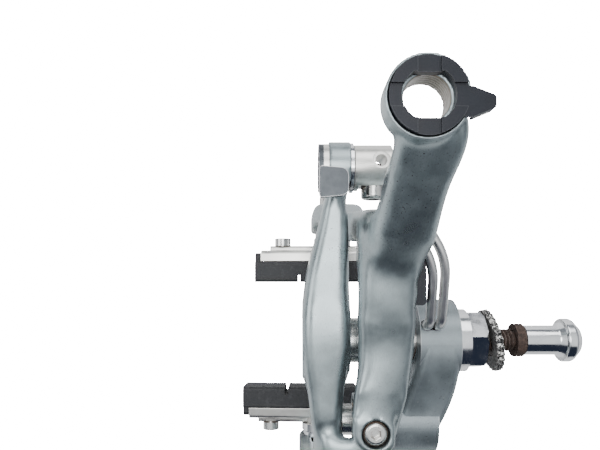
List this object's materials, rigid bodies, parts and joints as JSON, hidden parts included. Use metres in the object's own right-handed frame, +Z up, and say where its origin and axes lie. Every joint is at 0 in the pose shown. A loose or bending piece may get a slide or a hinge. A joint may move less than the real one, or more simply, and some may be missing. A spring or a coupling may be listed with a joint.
{
  "type": "caliper brake",
  "caption": "Dual-pivot side-pull road caliper brake with cable stop, quick release, cartridge shoes and sleeve-nut mounting.",
  "frame": {"origin": "on the mounting bolt's axis, at the seat face of the flange nut", "axes": "+X rearwards along the mounting bolt, +Y towards the cable side, +Z up towards the cable"},
  "size_m": [0.0948, 0.1111, 0.1048],
  "materials": {
    "silver_paint": "satin metallic silver-blue, worn at the edges",
    "grey_paint": "satin grey, dusty",
    "bright_plating": "bright, lightly pitted",
    "rusty_steel": "rusted",
    "dull_steel": "dull, with rust in the sockets",
    "spring_steel": "bright wire",
    "machined_alloy": "turned, slightly tarnished",
    "dark_alloy": "dark grey anodised",
    "worn_black": "black, worn white at the teeth",
    "bronze": "plain bearing",
    "black_plastic": "moulded",
    "pad_rubber": "used brake rubber"
  },
  "bodies": {
    "mount": {"mounting_bolt": "rusty_steel", "pivot_bracket": "grey_paint", "flange_nut": "bright_plating", "set_screw": "rusty_steel", "serrated_washer": "worn_black", "return_spring": "spring_steel", "side_pivot_bolt": "dull_steel", "bolt_collar": "dull_steel", "front_nut": "dull_steel", "thrust_washer_nut": "bright_plating", "thrust_washer_front": "bright_plating", "thrust_washer_side": "bright_plating"},
    "sleeve_nut": {"sleeve_nut": "bright_plating", "lock_ring": "rusty_steel"},
    "front_arm": {"anchor_arm": "silver_paint", "centre_bush": "bronze", "front_cap": "black_plastic", "cam_washer": "bright_plating"},
    "rear_arm": {"stop_arm": "silver_paint", "side_bush": "bronze", "index_ring": "black_plastic", "spring_holder": "black_plastic"},
    "quick_release": {"release_cam": "machined_alloy", "release_lever": "dark_alloy", "clamp_bolt": "dull_steel"},
    "centring_screw": {"centring_screw": "dull_steel"},
    "anchor_shoe": {"anchor_pad": "pad_rubber", "anchor_shoe_holder": "machined_alloy", "anchor_pad_screw": "dull_steel", "anchor_shoe_bolt": "dull_steel", "anchor_seat_washer": "bright_plating", "anchor_dome_washer": "bright_plating", "anchor_outer_washer": "bright_plating"},
    "stop_shoe": {"stop_pad": "pad_rubber", "stop_shoe_holder": "machined_alloy", "stop_pad_screw": "dull_steel", "stop_shoe_bolt": "dull_steel", "stop_seat_washer": "bright_plating", "stop_dome_washer": "bright_plating", "stop_outer_washer": "bright_plating"}
  },
  "joints": [
    {"name": "front_arm_pivot", "type": "hinge", "parent": "mount", "child": "front_arm", "pos_m": [-0.042, 0, 0], "axis": [1, 0, 0], "range_deg": [0, 8.2], "stiffness_Nm_per_rad": 1.5, "springref_deg": -17.19},
    {"name": "rear_arm_pivot", "type": "hinge", "parent": "mount", "child": "rear_arm", "pos_m": [-0.03, -0.022, -0.002], "axis": [1, 0, 0], "range_deg": [-8.77, 0], "deforming": ["return_spring"]},
    {"name": "quick_release_turn", "type": "hinge", "parent": "front_arm", "child": "quick_release", "pos_m": [-0.039, 0.0453, 0.006], "axis": [1, 0, 0], "range_deg": [-90, 0]},
    {"name": "centring_screw_turn", "type": "hinge", "parent": "rear_arm", "child": "centring_screw", "pos_m": [-0.0309, -0.02, 0.018], "axis": [0, 0, 1], "range_deg": [-180, 180]},
    {"name": "anchor_shoe_height", "type": "slide", "parent": "front_arm", "child": "anchor_shoe", "axis": [0, 0, 1], "range_m": [-0.002, 0.008]},
    {"name": "stop_shoe_height", "type": "slide", "parent": "rear_arm", "child": "stop_shoe", "axis": [0, 0, 1], "range_m": [-0.002, 0.008]},
    {"name": "nut_off", "type": "slide", "parent": "mount", "child": "sleeve_nut", "axis": [1, 0, 0], "range_m": [0, 0.035]}
  ],
  "couplings": [
    {"joint": "rear_arm_pivot", "follows": "front_arm_pivot", "ratio": -1.07}
  ]
}
